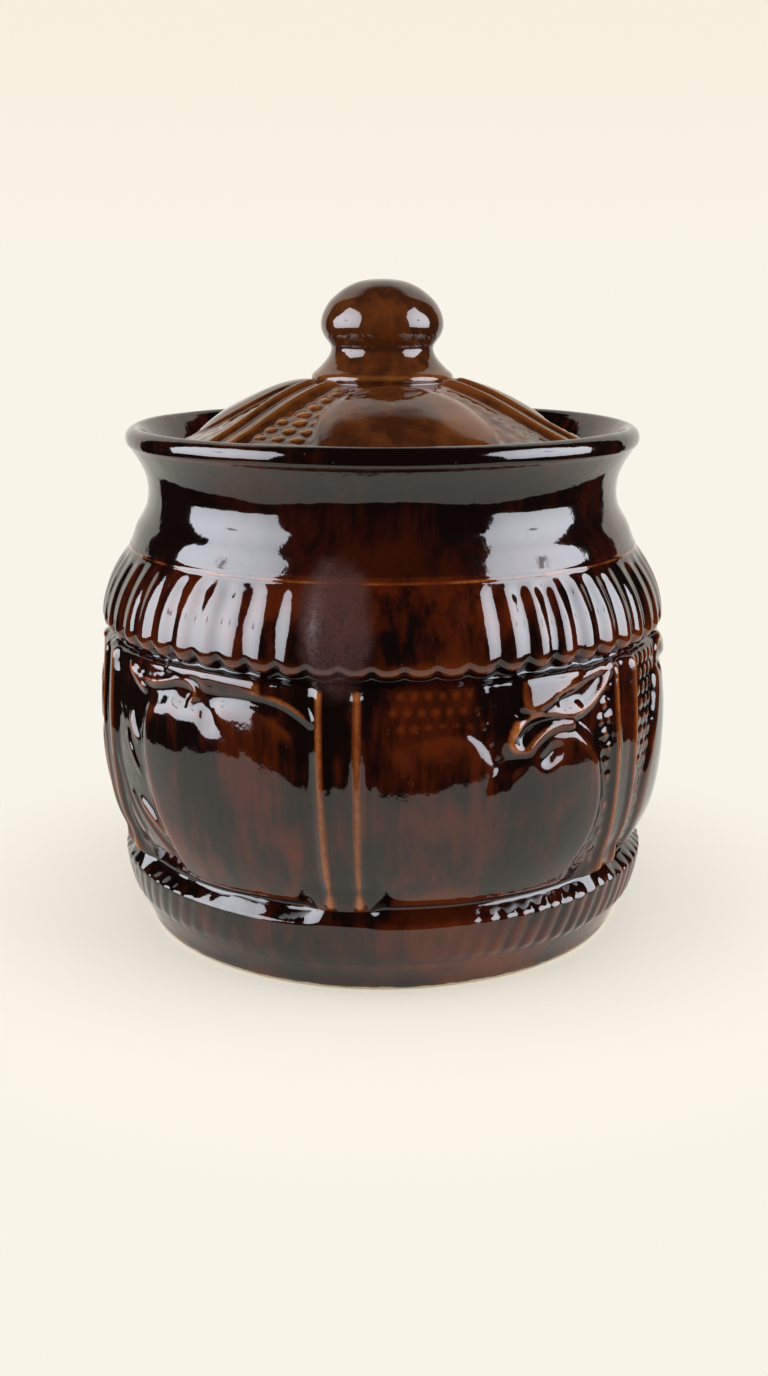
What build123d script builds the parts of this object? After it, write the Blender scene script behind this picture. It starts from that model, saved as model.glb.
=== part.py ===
"""Lidded stoneware jar with moulded fruit panels: a jar body and a lift-off lid.

Millimetres, +Z up. The origin is on the table, on the jar's axis. The viewer's side is -Y.
"""
from build123d import *
import os
from math import atan2, degrees, pi

os.makedirs("parts", exist_ok=True)

# Jar outline, from the table up: how far each turning point lies inside the belly's widest
# radius, and the height of each stretch above the last one
belly_radius = 88.8
foot_inset = 12.1
foot_edge = 1.2
foot_ring_width = 7.0
foot_recess_depth = 2.2
band_height = 10.0
band_inset = 8.2
bulge_height = 17.5
bulge_swell = 2.0
waist_inset = 7.6
belly_rise = 36.0
belly_fall = 27.5
belly_top_inset = 1.8
recess_height = 3.0
recess_depth = 1.6
gadroon_rise = 4.6
gadroon_height = 21.2
gadroon_inset = 2.9
shoulder_inset = 10.6
shoulder_step_height = 3.2
shoulder_step = 0.7
neck_fall = 12.0
neck_inset = 16.2
flare_height = 14.2
lip_inset = 10.1
lip_height = 5.6
crest_setback = 2.8

# Walls and hollow of the jar
wall = 6.0
floor_thickness = 6.4
floor_corner = 10.0
ledge_width = 3.4
ledge_drop = 12.3
crest_width = 1.6

# Relief of the jar
panel_count = 6
panel_turn = -7.8
gadroon_count = 62
lobe_stand = 2.0
lobe_width_share = 0.90
flute_count = 94
flute_depth = 0.7
flute_width_share = 0.62
rib_spacing = 10.4
rib_width = 4.0
rib_stand = 1.5
rib_round = 1.3
fruit_stand = 2.6
fruit_swing_radius = 33.0
fruit_half_height = 50.0
fruit_turns = (-12.4, 12.6)

# Lid: the outline from its edge to the top of the knob
lid_clearance = 0.8
lid_edge_thickness = 4.2
lid_edge_round = 1.4
dome_rise = 20.4
dome_mid_share = 0.52
dome_crown = 1.9
collar_radius = 21.8
collar_height = 2.2
knob_neck_radius = 15.7
knob_neck_rise = 8.2
knob_radius = 18.7
knob_under_rise = 5.4
knob_top_rise = 14.7
knob_shoulder_share = 0.706
lid_wall = 5.4
flange_depth = 7.0
flange_clearance = 1.0
flange_width = 4.6
knob_hollow_radius = 7.0
knob_crown = 9.0

# Relief of the lid
lid_panel_count = 3
lid_panel_turn = 8.0
lid_rib_spacing = 9.0
lid_rib_width = 4.4
lid_rib_stand = 1.7
lid_rib_round = 1.6
lid_fruit_share = 0.48
lid_fruit_stand = 2.4

# How far a cutting or joining shape runs past what it cuts or joins
overrun = 2.0

# Radii, heights and points that follow
foot_radius = belly_radius - foot_inset
band_radius = belly_radius - band_inset
waist_radius = belly_radius - waist_inset
belly_top_radius = belly_radius - belly_top_inset
gadroon_radius = belly_radius - gadroon_inset
shoulder_radius = belly_radius - shoulder_inset
neck_radius = belly_radius - neck_inset
lip_radius = belly_radius - lip_inset
waist_height = band_height + bulge_height
belly_height = waist_height + belly_rise
belly_top_height = belly_height + belly_fall
gadroon_low_height = belly_top_height + recess_height + gadroon_rise
shoulder_height = gadroon_low_height + gadroon_height
step_top_height = shoulder_height + shoulder_step_height
neck_height = step_top_height + neck_fall
lip_low_height = neck_height + flare_height
rim_height = lip_low_height + lip_height
crest_radius = lip_radius - crest_setback
bore_radius = neck_radius - wall
seat_height = rim_height - ledge_drop
seat_radius = bore_radius + ledge_width
floor_height = foot_recess_depth + floor_thickness
lid_radius = seat_radius - lid_clearance
flange_radius = bore_radius - flange_clearance
lid_edge_height = seat_height + lid_edge_thickness
dome_top_height = lid_edge_height + dome_rise
collar_top_height = dome_top_height + collar_height
knob_neck_height = collar_top_height + knob_neck_rise
knob_height = knob_neck_height + knob_under_rise
top_height = knob_height + knob_top_rise
inner_waist_radius = waist_radius - wall
flange_low_height = seat_height - flange_depth
flange_bore_radius = flange_radius - flange_width
knob_hollow_height = top_height - knob_crown
lid_rib_turn = lid_panel_turn + 360 / lid_panel_count / 2
rib_pair_turn = degrees(rib_spacing / belly_radius)
rib_pair_width = degrees((rib_spacing + rib_width) / belly_radius)

# The angle of the viewer's side, from which turns are counted
front_angle = -90.0


# One gadroon lobe: a bent rod with a round lower tip that sinks into the shoulder at its top
lobe_radius = lobe_width_share * pi * gadroon_radius / gadroon_count
lobe_foot_radius = gadroon_radius + lobe_stand - lobe_radius
with BuildPart() as gadroon_lobe:
    with BuildLine(Plane.XZ) as lobe_path:
        TangentArc(
            (lobe_foot_radius, gadroon_low_height),
            (shoulder_radius - lobe_radius, shoulder_height),
            tangent=(0, 1),
        )
    with BuildSketch(Plane.XY.offset(gadroon_low_height)):
        with Locations((lobe_foot_radius, 0)):
            Circle(lobe_radius)
    sweep(path=lobe_path.wire())
    with Locations((lobe_foot_radius, 0, gadroon_low_height)):
        Sphere(lobe_radius)

# One upright rib: a narrow strip turned about the axis, standing out from the belly
rib_low_height = waist_height + rib_width / 2
rib_top_height = belly_top_height + recess_height / 2
rib_core_radius = min(waist_radius, belly_top_radius) - wall / 2
with BuildPart() as belly_rib:
    with BuildSketch(Plane.XZ):
        with BuildLine():
            TangentArc((belly_radius + rib_stand, belly_height),
                       (waist_radius + rib_stand, rib_low_height), tangent=(0, -1))
            TangentArc((belly_radius + rib_stand, belly_height),
                       (belly_top_radius + rib_stand, rib_top_height), tangent=(0, 1))
            Polyline((belly_top_radius + rib_stand, rib_top_height),
                     (rib_core_radius, rib_top_height), (rib_core_radius, rib_low_height),
                     (waist_radius + rib_stand, rib_low_height))
        make_face()
    revolve(axis=Axis.Z, revolution_arc=degrees(rib_width / belly_radius))
    crests = belly_rib.edges().filter_by(GeomType.CIRCLE)
    fillet(crests.filter_by(lambda edge: edge.bounding_box().size.Z > rib_width), rib_round)

# One fruit: a tall rounded body that swells out of the belly
fruit_centre_radius = belly_radius + fruit_stand - fruit_swing_radius
with BuildPart() as belly_fruit:
    with BuildSketch(Plane.XZ):
        with Locations((fruit_centre_radius, belly_height - belly_rise / 5)):
            Ellipse(fruit_swing_radius, fruit_half_height)
        with Locations((fruit_centre_radius - fruit_swing_radius, belly_height)):
            Rectangle(2 * fruit_swing_radius, 4 * fruit_half_height, mode=Mode.SUBTRACT)
    revolve(axis=Axis((fruit_centre_radius, 0, 0), (0, 0, 1)))

# One flute of the lower band: a bent rod to be cut away
bulge_mid_height = band_height + bulge_height / 2
bulge_mid_radius = (band_radius + waist_radius) / 2 + bulge_swell
flute_radius = flute_width_share * pi * bulge_mid_radius / flute_count
with BuildPart() as flute_cut:
    with BuildLine(Plane.XZ) as flute_path:
        ThreePointArc(
            (band_radius + flute_radius, band_height),
            (bulge_mid_radius + flute_radius - flute_depth, bulge_mid_height),
            (waist_radius + flute_radius, waist_height),
        )
    with BuildSketch(Plane(flute_path.wire() @ 0, z_dir=flute_path.wire() % 0)):
        Circle(flute_radius)
    sweep(path=flute_path.wire())

# Jar body: the outer form, then its relief, then the hollow
with BuildPart() as jar_body:
    with BuildSketch(Plane.XZ):
        with BuildLine():
            Polyline((0, rim_height), (0, 0), (foot_radius - foot_edge, 0), (foot_radius, foot_edge),
                     (band_radius, band_height))
            ThreePointArc((band_radius, band_height), (bulge_mid_radius, bulge_mid_height),
                          (waist_radius, waist_height))
            TangentArc((belly_radius, belly_height), (waist_radius, waist_height), tangent=(0, -1))
            TangentArc((belly_radius, belly_height), (belly_top_radius, belly_top_height), tangent=(0, 1))
            Polyline((belly_top_radius, belly_top_height),
                     (gadroon_radius - recess_depth, belly_top_height + recess_height),
                     (gadroon_radius, gadroon_low_height))
            TangentArc((gadroon_radius, gadroon_low_height), (shoulder_radius, shoulder_height),
                       tangent=(0, 1))
            Line((shoulder_radius, shoulder_height), (shoulder_radius - shoulder_step, step_top_height))
            Spline((shoulder_radius - shoulder_step, step_top_height), (neck_radius, neck_height),
                   (lip_radius, lip_low_height), tangents=((0, 1), (lip_radius - neck_radius, flare_height)))
            ThreePointArc((lip_radius, lip_low_height), (lip_radius, rim_height - lip_height / 3),
                          (crest_radius, rim_height))
            Line((crest_radius, rim_height), (0, rim_height))
        make_face()
    revolve(axis=Axis.Z)
    with PolarLocations(0, gadroon_count):
        add(gadroon_lobe.part)
    for rib_turn in (-rib_pair_width / 2, rib_pair_turn - rib_pair_width / 2):
        with PolarLocations(0, panel_count, start_angle=front_angle + panel_turn + rib_turn):
            add(belly_rib.part)
    for fruit_turn in fruit_turns:
        panel_middle = panel_turn + 360 / panel_count / 2
        with PolarLocations(0, panel_count, start_angle=front_angle + panel_middle + fruit_turn):
            add(belly_fruit.part)
    with PolarLocations(0, flute_count):
        add(flute_cut.part, mode=Mode.SUBTRACT)
    with BuildSketch(Plane.XZ):
        with BuildLine():
            Polyline((inner_waist_radius - floor_corner, floor_height), (0, floor_height),
                     (0, rim_height + overrun), (crest_radius - crest_width, rim_height + overrun),
                     (crest_radius - crest_width, rim_height),
                     (seat_radius, lid_edge_height), (seat_radius, seat_height),
                     (bore_radius, seat_height), (bore_radius, neck_height))
            Spline((bore_radius, neck_height), (shoulder_radius - wall, shoulder_height),
                   (belly_top_radius - wall - recess_depth, gadroon_low_height),
                   (belly_radius - wall, belly_height), tangents=((0, -1), (0, -1)))
            TangentArc((belly_radius - wall, belly_height), (inner_waist_radius, waist_height),
                       tangent=(0, -1))
            Line((inner_waist_radius, waist_height), (inner_waist_radius, floor_height + floor_corner))
            RadiusArc((inner_waist_radius, floor_height + floor_corner),
                      (inner_waist_radius - floor_corner, floor_height), floor_corner)
        make_face()
    revolve(axis=Axis.Z, mode=Mode.SUBTRACT)
    with BuildSketch(Plane.XY.offset(-overrun)):
        Circle(foot_radius - foot_ring_width)
    extrude(amount=overrun + foot_recess_depth, mode=Mode.SUBTRACT)
jar_body.part.label = "jar_body"
export_step(jar_body.part, "parts/jar_body.step")

# The lid's upper face, as an arc from its edge up to the collar under the knob
dome_edge_radius = lid_radius - lid_edge_round
dome_span = dome_edge_radius - collar_radius
dome_mid_radius = collar_radius + dome_mid_share * dome_span
dome_mid_height = lid_edge_height + (1 - dome_mid_share) * dome_rise + dome_crown
lid_rib_end_radius = dome_edge_radius - lid_rib_width / 2

# One rib of the lid: a narrow bar that runs down the dome beside a line from the axis
with BuildPart() as lid_rib:
    with BuildSketch(Plane.XZ):
        with BuildLine():
            ThreePointArc((lid_rib_end_radius, lid_edge_height + lid_rib_stand),
                          (dome_mid_radius, dome_mid_height + lid_rib_stand),
                          (knob_neck_radius, dome_top_height + lid_rib_stand))
            Polyline((knob_neck_radius, dome_top_height + lid_rib_stand),
                     (knob_neck_radius, dome_top_height - lid_wall / 2),
                     (lid_rib_end_radius, lid_edge_height - lid_edge_round),
                     (lid_rib_end_radius, lid_edge_height + lid_rib_stand))
        make_face()
    extrude(amount=lid_rib_width / 2, both=True)
    fillet(lid_rib.edges().filter_by(GeomType.CIRCLE), lid_rib_round)

# One fruit of the lid: the cap of a ball, cut off inside the thickness of the dome
dome_slope = degrees(atan2(dome_rise, dome_span))
lid_fruit_depth = lid_fruit_stand + lid_wall / 2
lid_fruit_radius = ((lid_fruit_share * dome_span) ** 2 + lid_fruit_depth**2) / (2 * lid_fruit_depth)
with BuildPart() as lid_fruit:
    with Locations(Location((dome_mid_radius, 0, dome_mid_height), (0, dome_slope, 0))):
        with Locations((0, 0, lid_fruit_stand - lid_fruit_radius)):
            Sphere(lid_fruit_radius)
        with Locations((0, 0, -lid_wall / 2)):
            Box(2 * lid_fruit_radius, 2 * lid_fruit_radius, 2 * lid_fruit_radius,
                align=(Align.CENTER, Align.CENTER, Align.MIN), mode=Mode.INTERSECT)

# Where the knob's round side runs into its flatter top
knob_shoulder = (knob_shoulder_share * knob_radius, knob_height + knob_shoulder_share * knob_top_rise)

# Lid: the outer form with its knob, then its ribs and fruits, then the hollow beneath
with BuildPart() as lid:
    with BuildSketch(Plane.XZ):
        with BuildLine():
            Polyline((0, top_height), (0, flange_low_height), (flange_radius, flange_low_height),
                     (flange_radius, seat_height), (lid_radius, seat_height),
                     (lid_radius, lid_edge_height - lid_edge_round))
            RadiusArc((lid_radius, lid_edge_height - lid_edge_round),
                      (dome_edge_radius, lid_edge_height), -lid_edge_round)
            ThreePointArc((dome_edge_radius, lid_edge_height), (dome_mid_radius, dome_mid_height),
                          (collar_radius, dome_top_height))
            Line((collar_radius, dome_top_height), (collar_radius, collar_top_height))
            TangentArc((knob_neck_radius, knob_neck_height), (collar_radius, collar_top_height),
                       tangent=(0, -1))
            TangentArc((knob_radius, knob_height), (knob_neck_radius, knob_neck_height),
                       tangent=(0, -1))
            TangentArc((knob_radius, knob_height), knob_shoulder, tangent=(0, 1))
            TangentArc((0, top_height), knob_shoulder, tangent=(1, 0))
        make_face()
    revolve(axis=Axis.Z)
    for rib_side in (-lid_rib_spacing / 2, lid_rib_spacing / 2):
        with PolarLocations(0, lid_panel_count, start_angle=front_angle + lid_rib_turn):
            with Locations((0, rib_side)):
                add(lid_rib.part)
    with PolarLocations(0, lid_panel_count, start_angle=front_angle + lid_panel_turn):
        add(lid_fruit.part)
    with BuildSketch(Plane.XZ):
        with BuildLine():
            Polyline((0, knob_hollow_height), (0, flange_low_height - overrun),
                     (flange_bore_radius, flange_low_height - overrun),
                     (flange_bore_radius, seat_height))
            ThreePointArc((flange_bore_radius, seat_height), (dome_mid_radius, dome_mid_height - lid_wall),
                          (collar_radius, dome_top_height - lid_wall))
            Polyline((collar_radius, dome_top_height - lid_wall),
                     (knob_hollow_radius, dome_top_height - lid_wall),
                     (knob_hollow_radius, knob_hollow_height - knob_hollow_radius))
            RadiusArc((knob_hollow_radius, knob_hollow_height - knob_hollow_radius),
                      (0, knob_hollow_height), -knob_hollow_radius)
        make_face()
    revolve(axis=Axis.Z, mode=Mode.SUBTRACT)
lid.part.label = "lid"
export_step(lid.part, "parts/lid.step")
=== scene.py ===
"""A lidded stoneware jar with moulded fruit panels: dark brown glaze, honey-brown lid.

Blender objects are in metres. Outlines and relief are given in millimetres and degrees, where an
angle is counted from the viewer's side (-Y) towards +X. A pair named for where something starts or ends is
the two ends of a smooth ramp, and a pair named as a place is a middle and half a width.
"""
from math import pi, radians

import bpy
import numpy as np
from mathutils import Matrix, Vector


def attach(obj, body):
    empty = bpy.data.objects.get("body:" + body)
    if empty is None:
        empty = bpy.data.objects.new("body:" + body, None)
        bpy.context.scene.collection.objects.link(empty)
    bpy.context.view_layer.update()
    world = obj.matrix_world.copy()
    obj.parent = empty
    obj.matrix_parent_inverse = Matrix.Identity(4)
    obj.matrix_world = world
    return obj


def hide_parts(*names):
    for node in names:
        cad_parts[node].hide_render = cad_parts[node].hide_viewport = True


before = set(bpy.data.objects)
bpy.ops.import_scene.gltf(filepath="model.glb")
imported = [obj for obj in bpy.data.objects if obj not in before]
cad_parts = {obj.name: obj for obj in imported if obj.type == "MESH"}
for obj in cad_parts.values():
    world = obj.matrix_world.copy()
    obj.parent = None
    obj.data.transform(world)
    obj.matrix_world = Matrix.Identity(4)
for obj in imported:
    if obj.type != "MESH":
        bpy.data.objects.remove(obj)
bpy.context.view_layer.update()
mm = 0.001
degree = radians(1)
full_turn = 360.0
half_turn = 180.0

# Columns round the axis, and the spacing of rows with relief and without
jar_columns = 960
lid_columns = 720
coarse_share = 4  # a coarse ring has this many times fewer points
fine_step = 0.6
plain_step = 2.0

line_step, lid_line_step = 1.2, 1.0  # spacing of the places on the lines of the belly and of the lid
curve_places = 24  # places between two points of a curve before they are spaced evenly
tiny = 1e-9
bell_reach = 3  # a smoothing curve ends at this many times its width
wave_count = 14
wave_quickest = 1.5  # the quickest waves are this many times quicker than their scale


# Lines and fields

def curve(points, step):
    """A smooth line through the points, with its places about step apart."""
    p = np.array(points, float)
    p = np.vstack([2 * p[0] - p[1], p, 2 * p[-1] - p[-2]])
    t = np.linspace(0, 1, curve_places, endpoint=False)[:, None]
    dense = []
    for a, b, c, d in zip(p[:-3], p[1:-2], p[2:-1], p[3:]):
        dense.append(0.5 * (2 * b + (c - a) * t + (2 * a - 5 * b + 4 * c - d) * t**2
                            + (3 * b - a - 3 * c + d) * t**3))
    dense = np.vstack(dense + [p[-2:-1]])
    run = np.concatenate([[0], np.cumsum(np.linalg.norm(np.diff(dense, axis=0), axis=1))])
    at = np.linspace(0, run[-1], max(int(round(run[-1] / step)), 1) + 1)
    return np.column_stack([np.interp(at, run, dense[:, k]) for k in range(2)])


def soft(x, low, high):
    """0 below low, 1 above high, and a smooth ramp between them."""
    t = np.clip((x - low) / (high - low), 0, 1)
    return t * t * (3 - 2 * t)


def span(x, start, end):
    """1 between start and end, with a smooth ramp over each of them."""
    return soft(x, *start) * (1 - soft(x, *end))


def from_least(least, field):
    """A field of 0 to 1 that starts at a least share instead of 0."""
    return least + (1 - least) * field


def bell(x, middle, width, power=2):
    """1 at the middle and a smooth fall on both sides. A higher power has a flatter top."""
    return np.exp(-((x - middle) / width) ** power)


def rounded(depth, width):
    """A quarter round: 0 at an edge, 1 from width inwards."""
    return np.sqrt(1 - (1 - np.clip(depth / width, 0, 1)) ** 2)


def repeated(place, middle, every):
    """How far a place is from the nearest of the middles that repeat."""
    return (place - middle + every / 2) % every - every / 2


def from_front(angle):
    """The angle from the viewer's side, from -180 to 180."""
    return repeated(angle, 0, full_turn)


def round_dots(across, along, half_width, half_height):
    """A dot in each cell of a weave: 1 on its top, 0 between the dots."""
    x, z = across % 1 - 0.5, along % 1 - 0.5
    return np.sqrt(np.clip(1 - (x / half_width) ** 2 - (z / half_height) ** 2, 0, 1))


def to_line(x, z, line):
    """Distance to a broken line and the share of its length at the nearest place."""
    best = np.full(x.shape, np.inf)
    share = np.zeros(x.shape)
    steps = np.linalg.norm(np.diff(line, axis=0), axis=1)
    run = np.concatenate([[0], np.cumsum(steps)])
    for a, b, start, long in zip(line[:-1], line[1:], run[:-1], steps):
        d = (b - a) / max(long, tiny)
        along = np.clip((x - a[0]) * d[0] + (z - a[1]) * d[1], 0, long)
        away = np.hypot(x - a[0] - along * d[0], z - a[1] - along * d[1])
        nearer = away < best
        best = np.where(nearer, away, best)
        share = np.where(nearer, (start + along) / run[-1], share)
    return best, share


def inside(x, z, line):
    """Whether each place lies inside a closed line."""
    within = np.zeros(x.shape, bool)
    for a, b in zip(line, np.roll(line, -1, axis=0)):
        crosses = (a[1] > z) != (b[1] > z)
        slope = (b[0] - a[0]) / (b[1] - a[1] if b[1] != a[1] else tiny)
        within ^= crosses & (x < a[0] + slope * (z - a[1]))
    return within


def depth_inside(x, z, line):
    """How deep each place lies inside a closed line, below 0 outside it."""
    away, _ = to_line(x, z, line)
    return np.where(inside(x, z, line), away, -away)


def blurred(field, width):
    """A field smoothed over some rows and columns. The columns run all the way round."""
    reach = int(bell_reach * width)
    weights = np.exp(-0.5 * (np.arange(-reach, reach + 1) / width) ** 2)
    weights /= weights.sum()
    rows, columns = field.shape
    padded = np.pad(field, ((reach, reach), (0, 0)), mode="edge")
    field = sum(w * padded[k:k + rows] for k, w in enumerate(weights))
    padded = np.pad(field, ((0, 0), (reach, reach)), mode="wrap")
    return sum(w * padded[:, k:k + columns] for k, w in enumerate(weights))


def waves(angle, height, seed, scale):
    """Slow uneven waves that close round the axis, from -1 to 1."""
    rng = np.random.default_rng(seed)
    total = np.zeros(np.broadcast(angle, height).shape)
    most_turns = max(int(wave_quickest * full_turn / scale), 2)
    for _ in range(wave_count):
        turns = rng.integers(1, most_turns)
        total += np.sin(degree * turns * angle + rng.uniform(-1, 1) * 2 * pi * height / scale
                        + rng.uniform(0, 2 * pi)) / wave_count**0.5
    return np.clip(total, -1, 1)


# Relief of the belly, whose three panels are there twice

belly_radius = 89.0
arc = degree * belly_radius  # millimetres for each degree
panel_low = -68.0

# Fruits: closed outlines (degrees, height), how far they stand out, how wide their round edge is
fruits = (
    # left panel: two apples that fill it from the narrow leaves to the ribs
    (((-44, 83.2), (-48.2, 81.4), (-50.3, 74.5), (-50.7, 66), (-50, 58), (-48.6, 49), (-46, 40), (-44, 28),
      (-36, 26.5), (-30.5, 29), (-30.5, 50), (-31, 70), (-32.5, 78.5), (-35, 83.4), (-39, 82.9), (-42, 84.2)),
     1.9, 4.2),
    (((-32.6, 84.6), (-29, 86.2), (-23, 86), (-18.5, 83.6), (-15, 79), (-13.7, 70), (-13.6, 55), (-14, 40),
      (-17.5, 29), (-24, 26.5), (-31, 28), (-31.6, 50), (-31.5, 70), (-32, 79)), 1.75, 4.6),
    # middle panel: the apple on the left, and the one on the right under the leaf
    (((-1.6, 68), (0.2, 75.5), (4.7, 78.6), (8.1, 80), (11.5, 80.5), (14.6, 80), (17.3, 76.6), (19.2, 72.5),
      (20.6, 67), (21.6, 55), (21, 40), (18, 28.5), (10, 26.5), (3, 28.5), (-0.5, 38), (-1.9, 52)), 1.5, 9),
    (((21.9, 67), (24, 70.5), (27.5, 74.6), (31.5, 77.2), (35.8, 78.3), (39.6, 74.6), (42.8, 69), (44.3, 63),
      (45.2, 54), (44.3, 44.8), (42, 37), (39.2, 31), (36, 27.5), (28, 26.5), (22.5, 29), (20.6, 40),
      (20.9, 55)), 2, 3.6),
    # what joins the neighbours in these two panels
    (((-43, 50), (-42.6, 64), (-39.6, 76), (-35.4, 81), (-31, 82.6), (-26.6, 81.4), (-22, 76), (-18.6, 64),
      (-17.6, 48), (-19, 37), (-23, 29), (-31, 27.5), (-39, 29), (-42.6, 38)), 1.95, 10),
    (((10.5, 50), (12, 60), (16.5, 66), (22, 68.5), (27, 67), (31, 60), (33, 50), (31.5, 38), (27, 29.5),
      (20, 27.5), (14, 29.5), (11, 38)), 1.75, 11),
    # right panel: a pear and a cluster of small round fruits
    (((66.5, 83), (70.5, 86.5), (74.5, 84), (76.5, 76), (79.5, 66), (83.5, 55), (84.5, 43), (81, 32),
      (74, 27), (66.5, 29), (62.5, 38), (61.8, 50), (64, 62), (65.6, 73)), 2, 4),
    (((88, 58), (91.5, 62.5), (96.5, 63), (100.5, 59), (102.8, 50), (101.5, 38), (97, 29), (91, 27.5),
      (86.6, 33), (85.6, 46)), 1.9, 3.8),
    (((88.2, 76.5), (91, 81.5), (95.5, 82), (98.6, 78), (98.2, 71), (95, 66), (90.8, 66.2), (88, 70.5)),
     1.7, 3.4),
    (((99.6, 75), (101.2, 79.4), (103.3, 76), (103.6, 68), (101.8, 63.5), (99.6, 67)), 1.4, 2.4),
)

# Leaves, in the same way
leaves = (
    (((25.2, 93.6), (25, 87.7), (26, 83), (29, 82.8), (31.5, 84.2), (34.5, 86.8), (37.4, 89.6), (40.9, 92.6),
      (38, 94.8), (32.1, 94.8), (28.1, 94.2)), 2, 2.4),
    (((47.5, 92.2), (43.5, 92), (38, 89.8), (33, 87.7), (30, 84.5), (31.5, 82.4), (37.5, 81), (41.8, 83.4),
      (45.6, 87.4)), 1.7, 2.2),
    # narrow leaves that hang beside the left apple
    (((-55.4, 77.6), (-54.2, 72), (-52.3, 67.4), (-54.4, 69.4), (-56, 73.6)), 1.5, 1.1),
    (((-57.6, 70.2), (-55.6, 64.5), (-52.4, 57.2), (-54.6, 60.5), (-57.2, 65.8)), 1.5, 1.2),
    (((-55.2, 51), (-51.8, 49.4), (-48.4, 45.4), (-46.3, 40.4), (-49.6, 43), (-53.4, 46.6)), 1.5, 1.4),
    # a broad leaf over the pear
    (((72, 93.4), (79, 92.6), (85, 88.6), (88, 83.4), (83, 83.2), (77.4, 86)), 1.7, 2.2),
)

# Ridges: lines (degrees, height), how far they stand out, half their width at the start and at the end
ridges = (
    # the hooked stem over the left apples, and the leaf's edge beside it
    (((-56.2, 89.6), (-52.6, 87.8), (-49, 87.2), (-45.4, 87.8), (-41.1, 89.6), (-38.4, 89.9), (-36.4, 88.8),
      (-35.9, 86.4), (-37.4, 83.6)), 1.15, 0.9, 1),
    (((-56, 89), (-53.5, 86.6), (-50.6, 84.8)), 1.2, 0.7, 1.3),
    (((-34.6, 89.7), (-31, 89.2), (-26, 89.2), (-21.2, 88.9), (-17.6, 87.6), (-14.8, 85.4), (-12.6, 83)),
     1.15, 0.75, 0.95),
    (((-43.4, 93.2), (-38, 93), (-32, 92.4), (-26, 91.7), (-23, 91.2)), 1.5, 1.9, 2.4),
    # rims and midrib of the two leaves over the right apple, and the stem that curls below them
    (((25.6, 93.4), (25.2, 88.5), (25.6, 84)), 0.5, 1.2, 1),
    (((47.8, 92.3), (46.6, 89), (44.2, 85.8), (41.6, 83), (38, 80.9), (34.6, 81.2), (31.5, 82.2), (28, 82.4),
      (25.6, 81.2), (23.9, 78.6)), 1.9, 0.7, 1.35),
    (((47.6, 92.2), (43.8, 91.7), (40.4, 90.2), (36.4, 88.8), (33.2, 87.5)), 1.2, 0.8, 1.1),
    (((24.2, 80.6), (23.2, 77.4), (23.8, 74), (25.8, 73.4), (28, 75.8), (30.6, 78), (33.4, 79),
      (36.4, 78.6)), 1.9, 2, 1.6),
    # the outline of the apples, drawn as a thin raised line
    (((-41.6, 84.4), (-44, 83.6), (-48.2, 81.8), (-50.4, 74.5), (-50.8, 66), (-50.1, 58), (-48.7, 49),
      (-46.1, 40), (-44.4, 28.5)), 0.55, 0.8, 0.6),
    (((37.2, 78), (40, 74.6), (43.1, 69), (44.6, 63), (45.4, 54), (44.5, 44.8), (42.2, 37), (39.4, 31),
      (36.4, 28.4)), 0.5, 0.8, 0.6),
    # upright lines between the left panel's leaves and its first rib
    (((-62.9, 86), (-63, 74), (-62.7, 61.2), (-61, 52), (-58.6, 44), (-56.5, 38.5)), 0.8, 0.9, 0.8),
    (((-57.6, 50.5), (-55, 45.5), (-51.5, 40), (-47.4, 34.6)), 1, 0.8, 1),
    # veins of the leaf over the pear, and stems of the round fruits
    (((71.4, 93.2), (78, 90.4), (87.6, 83.6)), 0.9, 0.8, 0.6),
    (((70.5, 86), (71, 90.2), (74.5, 92.6)), 1.5, 1.2, 1.2),
    (((93.2, 82), (92.4, 86.6), (96, 90.4), (101, 91.2)), 1.5, 1.1, 1.1),
    (((101.4, 79.4), (100.6, 84.6), (97.2, 89.6)), 1.2, 0.8, 0.9),
)

# Hollows: lines, depth, and half their width in the same way
hollows = (
    (((39.5, 84.9), (42.2, 87), (43.8, 89.4)), 1.9, 2.6, 1.2),
    (((33.8, 85.2), (38, 86.4), (41.6, 88.6)), 1.7, 1.6, 2.2),
    (((31.8, 72.2), (30.2, 70.2)), 1.1, 2.2, 1.6),
    (((-32.1, 87), (-31.9, 83), (-31.7, 79)), 0.4, 1.6, 1.6),
    (((93, 81.4), (93, 79.6)), 1, 2, 1.4),
    (((70.6, 86.2), (70.8, 84)), 1, 2, 1.2),
)

# The fruits run this far down behind the foot, and the foot's forms reach up to this height
foot_reach, foot_top = 8.0, 36.0

# A form's height at its edge as a share of its full height, and how many edges in it is full
crown_share, crown_edges = 0.85, 4

# The forms that are lower than this are leaves, and lean out towards their foot
leaf_height, leaf_lean = 14.0, 0.055

# Where a ridge crosses a form, how much of each counts when the other one leads
ridge_over, form_under = 0.35, 0.55

# How far the woven ground stays off the forms, and off the ridges
form_margin, ridge_margin = 1.6, 1.4

# Rib pairs, which repeat: each rib as (angle at the top, angle at the foot)
rib_lines = ((-11.1, -9.9), (-4.4, -4.3))
rib_repeat = 60.0
rib_middle, rib_between = -7.75, -7.5
rib_top, rib_drop, rib_bend = 92.0, 64.0, 1.6
rib_span = ((26, 31), (90.5, 93))
rib_stand, rib_width, rib_widening, rib_widens = 1.9, 1.35, 0.30, (27, 46)
rib_margin = (2.2, 3.4)
between_stand, between_width, between_starts, between_margin = 0.75, 3.4, (26, 34), (7.2, 8.2)

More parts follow.
